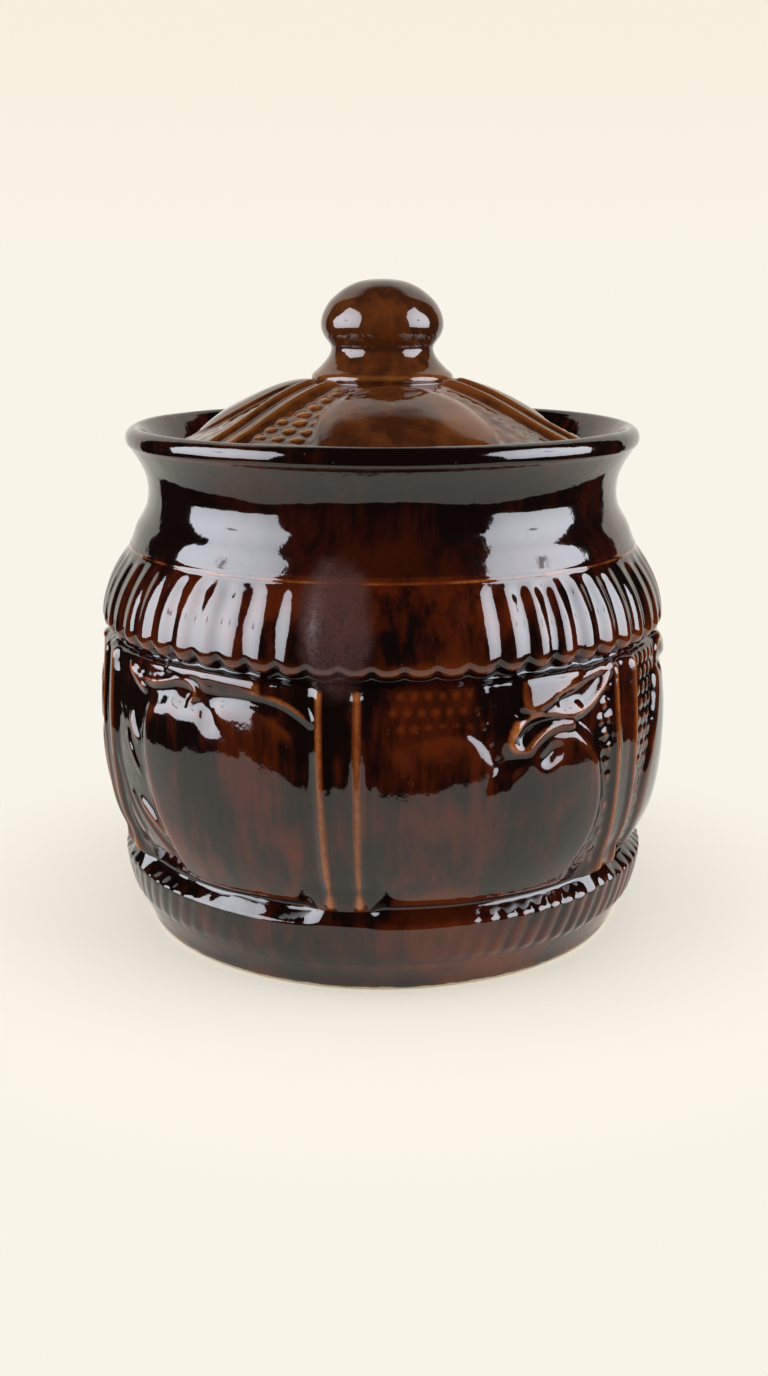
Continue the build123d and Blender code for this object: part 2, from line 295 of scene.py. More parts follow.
# Woven ground: its cells (degrees, millimetres), and how far its dots stand out by angle
weave_pitch = (2.5, 4.4)
weave_shift = 0.25
weave_dot = (0.42, 0.40)
weave_height, weave_span = 0.6, ((29, 34), (91, 93))
weave_turns = (-68, -50, -49, 0, 1, 18, 21, 42.5, 44.5, 112)
weave_shares = (0.12, 0.12, 0, 0, 0.66, 0.66, 0, 0, 0.9, 0.9)


def to_drawn_line(x, z, line, wide_start, wide_end):
    """Distance to a line that is drawn on the belly, and half its width at the nearest place."""
    away, share = to_line(x, z, curve(line, line_step) * (arc, 1))
    return away, wide_start + (wide_end - wide_start) * share


def add_forms(x, z, relief, ground):
    """Fruits and leaves, which stand out inside their outlines."""
    for outline, stand, edge in fruits + leaves:
        line = curve(outline + outline[:1], line_step) * (arc, 1)
        line[:, 1] -= foot_reach * soft(foot_top - line[:, 1], 0, foot_reach)
        depth = depth_inside(x, z, line)
        crown = from_least(crown_share, soft(depth, 0, crown_edges * edge))
        if line[:, 1].max() - line[:, 1].min() < leaf_height:
            crown = crown - leaf_lean * (z - line[:, 1].mean())
        relief = np.maximum(relief, stand * crown * rounded(depth, edge))
        ground = np.minimum(ground, soft(-depth, 0, form_margin))
    return relief, ground


def add_lines(x, z, relief, ground):
    """Ridges, such as stems and rims of leaves, and hollows."""
    for line, stand, wide_start, wide_end in ridges:
        away, wide = to_drawn_line(x, z, line, wide_start, wide_end)
        hump = stand * np.sqrt(np.clip(1 - (away / wide) ** 2, 0, 1))
        relief = np.maximum(relief + ridge_over * hump, form_under * relief + hump)
        ground = np.minimum(ground, soft(away, wide, wide + ridge_margin))
    for line, deep, wide_start, wide_end in hollows:
        away, wide = to_drawn_line(x, z, line, wide_start, wide_end)
        relief = relief - deep * bell(away, 0, wide)
    return relief, ground


def add_ribs(angle, z, relief, ground):
    """Pairs of upright ribs, with a low swell between the two of a pair."""
    turn = repeated(angle, rib_middle, rib_repeat) + rib_middle
    drop = np.clip((rib_top - z) / rib_drop, 0, 1)
    wide = rib_width + rib_widening * soft(z, *rib_widens)
    for top, foot in rib_lines:
        away = np.abs(turn - (top + (foot - top) * drop**rib_bend)) * arc
        relief = np.maximum(relief, rib_stand * span(z, *rib_span) * bell(away, 0, wide))
        ground = np.minimum(ground, soft(away, *rib_margin))
    between = np.abs(turn - rib_between) * arc
    ground = np.minimum(ground, soft(between, *between_margin))
    swell = between_stand * bell(between, 0, between_width, power=4) * soft(z, *between_starts)
    return relief + swell, ground


def panel_relief(angle, z):
    """Height of the belly's relief in millimetres, and where its woven ground shows."""
    near = (angle - panel_low) % half_turn + panel_low
    relief, ground = add_forms(near * arc, z, np.zeros(z.shape), np.ones(z.shape))
    relief, ground = add_lines(near * arc, z, relief, ground)
    relief, ground = add_ribs(angle, z, relief, ground)
    across, along = near / weave_pitch[0], z / weave_pitch[1]
    dots = round_dots(across + 0.5 * (np.floor(along) % 2) + weave_shift, along, *weave_dot)
    stand = np.interp(near, weave_turns, weave_shares)
    dots = dots * ground * span(z, *weave_span) * stand
    return relief + weave_height * dots, dots


# Relief of the bands

# Worn stretches: (middle, half width) in front, and where the back starts, which is worn unevenly
lobe_wear, flute_wear = (2.0, 16.5), (-10.0, 31.0)
wear_scale, wear_starts, wear_back = 160, (-0.9, -0.1), (80, 110)
lobe_seed, flute_seed = 5, 9

# Lobes: how far round the first one is, as a share of a lobe, and the form of one
lobes = 62
lobe_turn = 0.82
lobe_band = 86.0
lobe_radius = 4.35
lobe_low = 94.4
lobe_faintest = 0.10
lobe_side = 0.97
lobe_tip, lobe_worn_tip = 0.72, 0.75
lobe_tip_round = 3.4
lobe_heights, lobe_crests = (94, 99, 104, 109, 113, 117, 118.4), (3.2, 3.2, 2.75, 2.2, 1.5, 0.5, 0)

# The grooves between the lobes: their depth by height, and the share of it by angle
groove_heights, groove_depths = (94, 98, 104, 110, 115, 118), (0.9, 1.0, 0.95, 1.0, 0.9, 0)
groove_turns = (-180, -90, -58, -44, -14, 14, 30, 46, 60, 90, 180)
groove_shares = (1.1, 0.7, 0.55, 0.65, 0.5, 0.6, 1.1, 1.0, 0.7, 0.7, 1.1)
groove_power = 1.1

# Where a rib pair's foot runs into the jar's foot
rib_foot_middle = -7.6
rib_foot_height, rib_foot_half = 27.9, 6.4
rib_foot_stand, rib_foot_fall, rib_foot_side = 2.3, 1.3, (3.2, 8.5)

# Where the foot's upper edge is rounder: angles and half widths, then height and half height
soft_spots = ((-27.5, 5.5), (152.5, 5.5))
soft_spot_stand, soft_spot_place = 0.7, (25.4, 1.5)

# Flutes: how far they lean over how much height, and where they start and end
flutes = 94
flute_lean, flute_rise, flute_foot = 3.6, 16, 12
flute_depth, flute_span = 0.75, ((9.6, 12.4), (22.0, 26.0))
flute_faintest = 0.06
flute_left, flute_left_ends = 0.55, (-10, 20)

# Small unevenness of the foot's upper edge. Waves are a seed and a scale
uneven_stand, uneven_waves, uneven_place = 0.40, (31, 34), (25.5, 3.2)


def worn(angle, seed, centre, width):
    """Where thick glaze or a worn mould leaves a band's relief faint: 1 is crisp."""
    turn = from_front(angle - centre)
    front = 1 - bell(turn, 0, width, power=4)
    back = soft(waves(angle, 0 * angle, seed, wear_scale), *wear_starts)
    at_back = soft(np.abs(turn), *wear_back)
    return front * (1 - at_back * (1 - back))


def lobe_relief(angle, z):
    """The shoulder's rounded lobes: each a soft finger with a round tip that hangs over the belly."""
    phase = repeated(angle * lobes / full_turn, -lobe_turn, 1)
    across = np.abs(phase * full_turn / lobes * degree * lobe_band)
    crisp = from_least(lobe_faintest, worn(angle, lobe_seed, *lobe_wear))
    side = np.clip(across, 0, lobe_side * lobe_radius)
    scallop = lobe_radius - np.sqrt(lobe_radius**2 - side**2)
    tip_share = lobe_tip * from_least(lobe_worn_tip, crisp)
    crest = np.interp(z, lobe_heights, lobe_crests)
    groove = np.interp(z, groove_heights, groove_depths)
    groove = groove * np.interp(from_front(angle), groove_turns, groove_shares)
    groove = groove * (0.5 - 0.5 * np.cos(2 * pi * phase)) ** groove_power * crisp
    return (crest - groove) * rounded(z - lobe_low - tip_share * scallop, lobe_tip_round)


def rib_foot(angle, z):
    """Where a pair of ribs runs down over the crease into the foot."""
    turn = repeated(angle, rib_foot_middle, rib_repeat)
    fill = np.clip(1 - ((z - rib_foot_height) / rib_foot_half) ** 2, 0, 1) ** rib_foot_fall
    return rib_foot_stand * fill * (1 - soft(np.abs(turn), *rib_foot_side))


def soft_spot(angle, z):
    """Where the foot's upper edge is rounder than elsewhere."""
    near = sum(bell(from_front(angle - centre), 0, wide, power=4) for centre, wide in soft_spots)
    return soft_spot_stand * near * bell(z, *soft_spot_place)


def flute_relief(angle, z):
    """The foot's narrow flutes, which lean a little and fade towards the front."""
    lean = flute_lean * (z - flute_foot) / flute_rise
    across = np.abs(repeated((angle - lean) * flutes / full_turn, 0, 1)) * 2
    body = flute_depth * (1 - across**2) * span(z, *flute_span)
    crisp = from_least(flute_faintest, worn(angle, flute_seed, *flute_wear))
    right = from_least(flute_left, soft(from_front(angle), *flute_left_ends))
    return body * crisp * right


# Outlines: the name of each stretch, its points (radius, height), and the spacing of its rows

jar_outside = (
    ("band", ((76.2, 0.35), (76.9, 1.5), (77.9, 4.2), (79.3, 7.2), (80.5, 9.6)), 1),
    ("bulge", ((80.5, 9.6), (81.9, 13), (82.9, 16.8), (83.4, 20), (83.6, 21.6), (83.45, 22.5), (82.9, 23.1),
      (81.9, 24), (80.9, 24.9), (80.1, 25.7), (79.8, 26.6), (80, 27.6)), 0.45),
    ("belly", ((80, 27.6), (80.8, 29.6), (83.5, 35), (85.6, 40.5), (87, 47), (87.9, 55), (88.3, 62),
      (88.4, 67.5), (88.2, 74), (87.6, 82), (87.1, 88), (86.8, 91.4)), fine_step),
    ("recess", ((86.8, 91.4), (86.3, 92.3), (85.2, 92.95), (84.6, 93.6), (84.5, 95)), fine_step),
    ("lobes", ((84.5, 95), (84.7, 98), (84.4, 102), (83.6, 106), (82.3, 110), (80.7, 114), (79.4, 117),
      (78.8, 118.4)), fine_step),
    ("line", ((78.8, 118.4), (78.85, 118.9), (78.7, 119.4), (78.3, 120)), 0.3),
    ("neck", ((78.3, 120), (77.3, 122.8), (76.2, 125.4), (74.6, 128), (73.3, 130.8), (72.7, 133.6),
      (72.6, 136.4), (73.1, 139.8), (74.4, 143.2), (76.2, 146.4), (77.9, 148.9)), 0.9),
    ("lip", ((77.9, 148.9), (78.6, 149.7), (78.9, 151.3), (78.5, 153), (77.4, 154.2), (76, 154.75),
      (74.9, 154.4)), 0.6),
)
jar_inside = (
    ("mouth", ((74.9, 154.4), (73.4, 152.6), (71.6, 149.6), (70.4, 147.2), (70.1, 146)), 0.8),
    ("seat wall", ((70.1, 146), (70.05, 144.4), (70, 142.9)), plain_step),
    ("seat", ((70, 142.9), (69.6, 142.5), (67.2, 142.5), (66.6, 142.1)), plain_step),
    ("bore", ((66.6, 142.1), (66.6, 138.5), (66.6, 135)), plain_step),
    ("shoulder inside", ((66.6, 135), (68, 130.5), (71, 125.5), (74.5, 121), (78, 115), (81, 108),
      (82.4, 99), (82.9, 88), (82.9, 74), (82.4, 62), (80.6, 46), (77.6, 34),
      (75.2, 26.5)), plain_step),
    ("floor corner", ((75.2, 26.5), (75.1, 20), (74, 13.6), (70.5, 9.8), (65, 8.7)), plain_step),
    ("floor", ((65, 8.7), (40, 8.6), (14, 8.6), (4, 8.6)), 4),
)
jar_underside = (
    ("foot", ((76.2, 0.35), (75.6, 0), (73, 0), (70.6, 0), (69.9, 0.4)), plain_step),
    ("recess wall", ((69.9, 0.4), (69.6, 1.2), (69, 2.1)), plain_step),
    ("underside", ((69, 2.1), (60, 2.3), (30, 2.4), (4, 2.4)), 5),
)
floor_height, under_height = 8.6, 2.4

lid_outside = (
    ("edge", ((69.15, 142.9), (69.2, 144.2), (69, 145.6), (68.2, 146.6), (66.9, 147.1)), 0.6),
    ("dome", ((66.9, 147.1), (62, 149.2), (56.5, 151.7), (50.5, 154.6), (44.6, 157.7), (39, 160.6),
      (33.4, 163.2), (27.5, 165.4), (22.6, 166.7), (21.2, 167.1)), fine_step),
    ("collar", ((21.2, 167.1), (21.6, 167.8), (21.7, 168.9), (21.1, 169.9), (19.8, 171), (18.2, 172.6),
      (16.7, 174.4), (15.9, 175.9), (15.6, 177)), 0.6),
    ("knob", ((15.6, 177), (15.8, 178), (16.6, 179.2), (17.7, 180.7), (18.5, 182.5), (18.75, 184.4),
      (18.4, 186.6), (17.7, 188.4), (16.3, 190.7), (14, 193), (10.9, 195.2), (7.2, 196.8),
      (3.2, 197.5), (0.8, 197.6)), 0.8),
)
lid_underside = (
    ("seat", ((69.15, 142.9), (68.6, 142.5), (66.4, 142.5), (65.7, 142.2)), plain_step),
    ("flange", ((65.7, 142.2), (65.6, 139.5), (65.3, 136.4), (64.5, 135.5), (62.2, 135.5), (61.2, 136.2),
      (61, 139), (60.8, 142)), 1.2),
    ("hollow", ((60.8, 142), (56, 146.2), (48, 151), (40, 155.2), (30, 159.2), (20, 161.6), (10, 162),
      (8, 162.4)), plain_step),
    ("knob hollow", ((8, 162.4), (7.1, 164), (7, 172), (7, 181), (6, 185.2), (3.4, 187.9),
      (0.9, 188.6)), plain_step),
)
lid_top, lid_hollow = 197.62, 188.7


def stretches(parts):
    """All rows of an outline: their points, and the stretch that each belongs to."""
    rows, names = [], []
    for name, points, step in parts:
        line = curve(points, step)
        if rows:
            line = line[1:]
        rows += list(line)
        names += [name] * len(line)
    return np.array(rows), np.array(names)


# Meshes

def ring(points, thin=0.0, pool=0.0, rise=0.0, bare=0.0):
    """One ring of a turned mesh: its points, how the glaze lies on them, and where it is darkened."""
    return {"points": points, "thin": thin, "pool": pool, "rise": rise, "bare": bare}


def plain_ring(point, columns, **coat):
    """A round ring through one point of an outline."""
    angle = np.arange(columns) * 2 * pi / columns
    r, z = point
    return ring(np.column_stack([r * np.sin(angle), -r * np.cos(angle), np.full(columns, z)]), **coat)


def pole(height, **coat):
    """The single point that closes a mesh on the axis."""
    return ring(np.array([[0, 0, height]]), **coat)


def shell_rings(fine, *fields):
    """Rings of an outer face from the top down, coarse where they aren't fine."""
    return [ring(*(field[i] if fine[i] else field[i][::coarse_share] for field in fields))
            for i in reversed(range(len(fine)))]


def ring_faces(a, count_a, b, count_b):
    """Corners of the faces between two rings, whose points start at a and at b. A ring is a single
    point, or has a whole number of times fewer points than its neighbour."""
    def at_a(place):
        return a + place % count_a

    def at_b(place):
        return b + place % count_b

    fewer, more = sorted((count_a, count_b))
    times = more // fewer
    k = np.arange(more if fewer == 1 else fewer)
    if fewer == 1:
        corners = [at_a(k), at_b(k), at_a(k + 1) if count_b == 1 else at_b(k + 1)]
    elif times == 1:
        corners = [at_a(k), at_b(k), at_b(k + 1), at_a(k + 1)]
    elif count_a > count_b:
        corners = [at_b(k), at_b(k + 1)] + [at_a(k * times + s) for s in range(times, -1, -1)]
    else:
        corners = [at_a(k + 1), at_a(k)] + [at_b(k * times + s) for s in range(times + 1)]
    return np.column_stack(corners)


def new_object(name, data):
    thing = bpy.data.objects.new(name, data)
    bpy.context.scene.collection.objects.link(thing)
    return thing


def lathe(name, rings):
    """A closed turned form from its rings, whose first and last are single points."""
    points = [one["points"] for one in rings]
    counts = [len(some) for some in points]
    starts = np.concatenate([[0], np.cumsum(counts)])
    faces = [ring_faces(*ends) for ends in zip(starts, counts, starts[1:], counts[1:])]
    loops = np.concatenate([some.ravel() for some in faces])
    sizes = np.concatenate([np.full(len(some), some.shape[1]) for some in faces])
    mesh = bpy.data.meshes.new(name)
    mesh.vertices.add(starts[-1])
    mesh.vertices.foreach_set("co", (np.vstack(points) * mm).astype(np.float32).ravel())
    mesh.loops.add(len(loops))
    mesh.loops.foreach_set("vertex_index", loops.astype(np.int32))
    mesh.polygons.add(len(sizes))
    face_starts = np.concatenate([[0], np.cumsum(sizes)[:-1]])
    mesh.polygons.foreach_set("loop_start", face_starts.astype(np.int32))
    mesh.polygons.foreach_set("use_smooth", np.ones(len(sizes), bool))
    mesh.update(calc_edges=True)
    mesh.validate()
    for key in ("thin", "pool", "rise", "bare"):
        values = [np.broadcast_to(one[key], count) for one, count in zip(rings, counts)]
        layer = mesh.attributes.new(key, "FLOAT", "POINT")
        layer.data.foreach_set("value", np.concatenate(values).astype(np.float32))
    return new_object(name, mesh)


def turned(line, relief, angle):
    """Rings of a turned outline whose points move along its normal by the relief."""
    along = np.gradient(line, axis=0)
    along = along / np.maximum(np.linalg.norm(along, axis=1, keepdims=True), tiny)
    normal = np.column_stack([along[:, 1], -along[:, 0]])
    r = line[:, 0, None] + normal[:, 0, None] * relief
    z = line[:, 1, None] + normal[:, 1, None] * relief
    a = degree * angle
    return np.stack([r * np.sin(a), -r * np.cos(a), z], axis=-1)


def surface(parts, columns):
    """An outer face before its relief: its outline, its rows by stretch, and its points' angle,
    radius and height."""
    outline, names = stretches(parts)
    angle = (np.arange(columns) * full_turn / columns)[None, :]
    r, z = (outline[:, k, None] + 0 * angle for k in range(2))
    return outline, {name: names == name for name, _, _ in parts}, angle + 0 * z, r, z


# How the glaze lies: over how many rows and columns a crest, a pool and a broad rise are seen
crest_reach, pool_reach, rise_reach = 2.4, 4.2, 11
rise_scale = 0.9


def glaze_depth(relief, crest_scale, pool_scale):
    """Where the glaze runs thin over crests, where it pools, and where the form is broadly raised."""
    crest = relief - blurred(relief, crest_reach)
    pool = blurred(relief, pool_reach) - relief
    rise = relief - blurred(relief, rise_reach)
    return [np.clip(field / scale, 0, 1)
            for field, scale in ((crest, crest_scale), (pool, pool_scale), (rise, rise_scale))]


# Jar

jar_softness, jar_scales = 1.15, (0.55, 0.85)
panel_starts, recess_starts, recess_fade = (26.8, 29.6), (92.3, 93.6), 0.6
lobe_rise_fade, lobe_thin_fade = 0.7, 0.45
# Painted shade: the foot's upturned ledge is darkened as if it mirrored the dark room, and the recess under
# the lobe tips as if shadowed; both also lose some warmth
ledge_place, ledge_rise_fade, ledge_pool = (25.0, 2.4), 0.8, 0.55
band_rise, band_thin, dot_thin = 0.6, 0.10, 0.80
# The neck and lip are evenly darker all round. Painted shade: the jar's inside and its underside are evenly
# darkened
neck_pool, inside_pool, under_pool = 0.62, 0.3, 0.4

# The amber line over the lobes, and the thin glaze under the lip
line_place, line_thin, line_uneven, line_waves = (118.95, 0.42), 0.62, 0.30, (21, 12)
lip_edge_place, lip_edge_radius, lip_edge_thin = (149.2, 0.45), 77, 0.55

# Slow unevenness of a hand-finished form: height, seed, scale
jar_slow_waves = ((0.10, 3, 70), (0.05, 4, 30))
jar_bare_ends, foot_bare_top = (0.7, 1.7), 1.0


def jar_relief(angles, z, rows):
    """The jar's relief in millimetres, and where its woven dots stand."""
    relief, dotted = np.zeros(z.shape), np.zeros(z.shape)
    panel = rows["belly"] | rows["recess"]
    on_panel, dotted[panel] = panel_relief(angles[panel], z[panel])
    shown = soft(z[panel], *panel_starts) * (1 - recess_fade * soft(z[panel], *recess_starts))
    relief[panel] += on_panel * shown
    high = rows["recess"] | rows["lobes"]
    relief[high] = np.maximum(relief[high], lobe_relief(angles[high], z[high]))
    relief[rows["bulge"]] += flute_relief(angles[rows["bulge"]], z[rows["bulge"]])
    low = rows["bulge"] | (rows["belly"] & (z[:, 0] < foot_top))
    relief[low] += rib_foot(angles[low], z[low])
    uneven = uneven_stand * waves(angles[low], 0 * z[low], *uneven_waves)
    relief[low] += uneven * bell(z[low], *uneven_place)
    relief[low] += soft_spot(angles[low], z[low])
    return blurred(relief, jar_softness), dotted


def jar_glaze(angles, r, z, rows, relief, dotted):
    """Where the jar's glaze is thin, where it pools, is darker or carries painted shade, and where its form
    is raised.
    """
    thin, pool, rise = glaze_depth(relief, *jar_scales)
    recess, high = rows["recess"][:, None], (rows["recess"] | rows["lobes"])[:, None]
    # Painted shade on the foot's upper ledge and in the recess under the lobes
    shaded_ledge = np.clip(bell(z, *ledge_place, power=4) + recess, 0, 1)
    rise = rise * (1 - lobe_rise_fade * high) * (1 - ledge_rise_fade * shaded_ledge)
    rise[rows["band"]] = band_rise
    thin[rows["band"]] = band_thin
    # The neck and lip are evenly darker all round
    neck = (rows["neck"] | rows["lip"])[:, None]
    pool = np.maximum(np.maximum(pool, ledge_pool * shaded_ledge), neck_pool * neck)
    thin = np.maximum(thin * (1 - lobe_thin_fade * high), dot_thin * dotted**2)
    line = bell(z, *line_place) * (line_thin + line_uneven * waves(angles, 0 * z, *line_waves))
    thin = np.maximum(thin, np.where(rows["line"][:, None], line, 0))
    under_lip = bell(z, *lip_edge_place) * (r > lip_edge_radius)
    thin = np.clip(np.maximum(thin, lip_edge_thin * under_lip), 0, 1)
    return thin, pool, rise


def make_jar():
    outline, rows, angles, r, z = surface(jar_outside, jar_columns)
    relief, dotted = jar_relief(angles, z, rows)
    thin, pool, rise = jar_glaze(angles, r, z, rows, relief, dotted)
    slow = sum(high * waves(angles, z, seed, scale) for high, seed, scale in jar_slow_waves)
    shell = turned(outline, relief + slow, angles)
    bare = 1 - soft(z, *jar_bare_ends)
    coarse = jar_columns // coarse_share
    # Painted shade darkens the jar's inside and its underside
    inner = [plain_ring(point, jar_columns if name == "mouth" else coarse,
                        pool=inside_pool, bare=float(name == "seat"))
             for point, name in zip(*stretches(jar_inside))]
    under = [plain_ring(point, coarse, pool=under_pool, bare=float(point[1] < foot_bare_top))
             for point in stretches(jar_underside)[0]]
    outer = shell_rings([True] * len(outline), shell, thin, pool, rise, bare)
    ends = pole(floor_height), pole(under_height, pool=under_pool)
    return lathe("jar_body_glazed", [ends[0]] + inner[:0:-1] + outer + under[1:] + [ends[1]])


# Lid

# The lid has the same relief in each third. The angle is the middle of the fruit in front
lid_centre = 8.0
lid_third = 120.0

# A fruit of the lid: its closed outline (across, out from the axis), and its form
lid_fruit = ((-25.5, 49), (-25, 42), (-22, 35), (-16.5, 29), (-8, 25.2), (2, 24.2), (11, 26.2), (18.5, 31),
             (24, 38), (26.6, 46), (25.6, 55), (20, 62), (9, 66), (-3, 66.4), (-14, 64), (-22, 57.5))
lid_fruit_stand, lid_fruit_edge, lid_fruit_margin = 3.2, 7.0, 1.4
lid_crown_share, lid_crown_depth = 0.72, 20
fall_height, fall_radius, fall_reach, fall_scale = 2.4, 45, 18, 14
lid_rim_stand, lid_rim_place = 0.5, (0.4, 0.8)

# Rib pairs of the lid
lid_rib_offset, lid_rib_stand, lid_rib_width, lid_rib_margin = 4.9, 2.3, 2.3, (2.8, 4.0)
lid_between_stand, lid_between_width, lid_between_margin = 0.8, 3.2, (6.4, 7.4)
lid_relief_span = ((20.6, 23.5), (65.5, 67.5))

# Woven ground of the lid: rows round the axis, with faint dots on the fruit's right side
lid_weave_row, lid_weave_cell, lid_weave_dot, lid_weave_height = 3.9, 6.4, (0.42, 0.36), 0.8
lid_weave_span, lid_weave_faint, lid_weave_side = ((23, 26), (63, 66)), 0.28, (-6, 6)

# The lid's glaze and slow unevenness, and its bare clay
lid_softness, lid_scales, lid_dot_thin = 1.2, (0.50, 0.8), 0.7
collar_place, collar_radius, collar_thin = (169.2, 0.9), 22.5, 0.5
neck_place, neck_radius, groove_pool = (177.4, 1.3), 18, 0.9
lid_slow_stand, lid_slow_waves, lid_slow_starts = 0.06, (7, 50), (2, 12)
lid_bare_ends, lid_bare_radius = (143.0, 143.8), 60
# Painted shade darkens the lid's hollow underside a little
lid_hollow_pool, flange_radius, seat_top = 0.2, 60.9, 142.8


def lid_weave(angle, r, turn):
    """The dots of the lid's woven ground, and how much they stand out."""
    row = np.floor(r / lid_weave_row)
    round_axis = 2 * pi * (row + 0.5) * lid_weave_row
    per_row = np.round(round_axis / lid_weave_cell / 3) * 3
    across = (angle - lid_centre) / full_turn * per_row + 0.5 * (row % 2)
    side = from_least(lid_weave_faint, soft(-turn, *lid_weave_side))
    dots = round_dots(across, r / lid_weave_row, *lid_weave_dot)
    return dots * span(r, *lid_weave_span) * side


def lid_relief(angle, r):
    """A round fruit in each third, rib pairs that run up to the collar, and woven ground."""
    turn = repeated(angle, lid_centre, lid_third)
    line = curve(lid_fruit + lid_fruit[:1], lid_line_step)
    depth = depth_inside(r * np.sin(degree * turn), r * np.cos(degree * turn), line)
    crown = from_least(lid_crown_share, soft(depth, 0, lid_crown_depth))
    fall = np.clip(r - fall_radius, 0, fall_reach) / fall_scale
    fruit = (lid_fruit_stand * crown - fall_height * fall**2) * rounded(depth, lid_fruit_edge)
    rim = lid_rim_stand * bell(depth, *lid_rim_place)
    ground = soft(-depth, 0, lid_fruit_margin)
    beside = r * np.sin(degree * repeated(angle, lid_centre + lid_third / 2, lid_third))
    ribs = lid_between_stand * bell(beside, 0, lid_between_width, power=4)
    ground = np.minimum(ground, soft(np.abs(beside), *lid_between_margin))
    for offset in (-lid_rib_offset, lid_rib_offset):
        off = np.abs(beside - offset)
        ribs = np.maximum(ribs, lid_rib_stand * bell(off, 0, lid_rib_width))
        ground = np.minimum(ground, soft(off, *lid_rib_margin))
    relief = (np.maximum(fruit, ribs) + rim) * span(r, *lid_relief_span)
    dots = ground * lid_weave(angle, r, turn)
    return relief + lid_weave_height * dots, dots


def make_lid():
    outline, rows, angles, r, z = surface(lid_outside, lid_columns)
    relief, dotted = np.zeros(r.shape), np.zeros(r.shape)
    fine = rows["edge"] | rows["dome"]
    relief[fine], dotted[fine] = lid_relief(angles[fine], r[fine])
    relief = blurred(relief, lid_softness)
    thin, pool, rise = glaze_depth(relief, *lid_scales)
    collar = bell(z, *collar_place) * (r < collar_radius)
    groove = bell(z, *neck_place) * (r < neck_radius)
    thin = np.maximum(np.maximum(thin, lid_dot_thin * dotted), collar_thin * collar)
    pool = np.maximum(pool, groove_pool * groove)
    slow = lid_slow_stand * waves(angles, z, *lid_slow_waves) * soft(r, *lid_slow_starts)
    shell = turned(outline, relief + slow, angles)
    bare = (1 - soft(z, *lid_bare_ends)) * (r > lid_bare_radius)
    # Painted shade darkens the lid's hollow underside
    under = [plain_ring(point, lid_columns // coarse_share, pool=lid_hollow_pool,
                        bare=float(point[0] > flange_radius and point[1] < seat_top))
             for point in stretches(lid_underside)[0]]
    outer = shell_rings(fine, shell, thin, pool, rise, bare)
    ends = pole(lid_top), pole(lid_hollow, pool=lid_hollow_pool)
    return lathe("lid_glazed", [ends[0]] + outer + under[1:] + [ends[1]])


# Materials

class Nodes:
    """Short hand for a material's node tree."""

    def __init__(self, tree):
        self.tree = tree
        tree.nodes.clear()

    def add(self, kind, **inputs):
        node = self.tree.nodes.new("ShaderNode" + kind)
        for key, value in inputs.items():
            self.put(node, key, value)
        return node

    def put(self, node, key, value):
        socket = node.inputs[int(key[1:])] if key[0] == "i" and key[1:].isdigit() else node.inputs[key]
        if isinstance(value, bpy.types.NodeSocket):
            self.tree.links.new(value, socket)
        else:
            socket.default_value = value

    def math(self, operation, a, b=0.0):
        node = self.add("Math", i0=a, i1=b)
        node.operation = operation
        return node.outputs[0]

    def plus(self, a, b):
        return self.math("ADD", a, b)

    def minus(self, a, b):
        return self.math("SUBTRACT", a, b)

    def times(self, a, b):
        return self.math("MULTIPLY", a, b)

    def uneven(self, value, noise, strength):
        """A value moved up and down by a noise round its middle."""
        return self.plus(value, self.times(self.minus(noise, 0.5), strength))

    def length(self, vector):
        node = self.add("VectorMath", i0=vector)
        node.operation = "LENGTH"
        return node.outputs["Value"]

    def ramp(self, value, low, high):
        node = self.add("MapRange", Value=value, **{"From Min": low, "From Max": high})
        node.interpolation_type = "SMOOTHSTEP"
        return node.outputs[0]

    def mix(self, factor, a, b):
        node = self.add("Mix")
        node.data_type = "RGBA"
        self.put(node, "i0", factor)
        self.put(node, "i6", a)
        self.put(node, "i7", b)
        return node.outputs[2]

    def noise(self, where, scale, detail=3.0, rough=0.5):
        node = self.add("TexNoise", Vector=where, Scale=scale, Detail=detail, Roughness=rough)
        return node.outputs["Fac"]

    def spots(self, where, scale, size):
        """1 in small round spots, one to a cell, and 0 elsewhere."""
        cells = self.add("TexVoronoi", Vector=where, Scale=scale).outputs["Distance"]
        return self.math("LESS_THAN", cells, size)

    def mapped(self, where, scale, rotation=(0, 0, 0)):
        return self.add("Mapping", Vector=where, Scale=scale, Rotation=rotation).outputs[0]

    def attribute(self, name):
        node = self.add("Attribute")
        node.attribute_name = name
        return node.outputs["Fac"]


# Patterns of the glaze: how fine for each metre, how detailed, how rough
streaks_pattern, streaks_stretch = (230.0, 4.0, 0.62), (1, 1, 0.16)
clouds_pattern = (34.0, 3.0, 0.55)
grain_pattern = (900.0, 2.0, 0.6)
patch_pattern, patch_range = (60.0, 1.0), (0.56, 0.66)
clay_pattern = (420.0, 3.0)
bare_pattern, bare_uneven, bare_edge = (260.0, 2.0), 0.7, (0.45, 0.6)
gloss_pattern = (95.0, 3.0)
swell_pattern, peel_pattern = (75.0, 2.0), (420.0, 2.0)
speck_scale, speck_size, speck_strength = 210.0, 0.075, 0.55
pit_scale, pit_size = 330.0, 0.06

# How these and the lie of the glaze change its colour
streaks_weight, clouds_weight, red_range = 0.42, 0.58, (0.44, 0.62)
thin_warmth, rise_warmth, warm_range, warm_strength = 0.9, 0.24, (0.58, 1.0), 0.65
grain_broken, streaks_broken, edge_range = 0.55, 0.5, (0.34, 1.15)
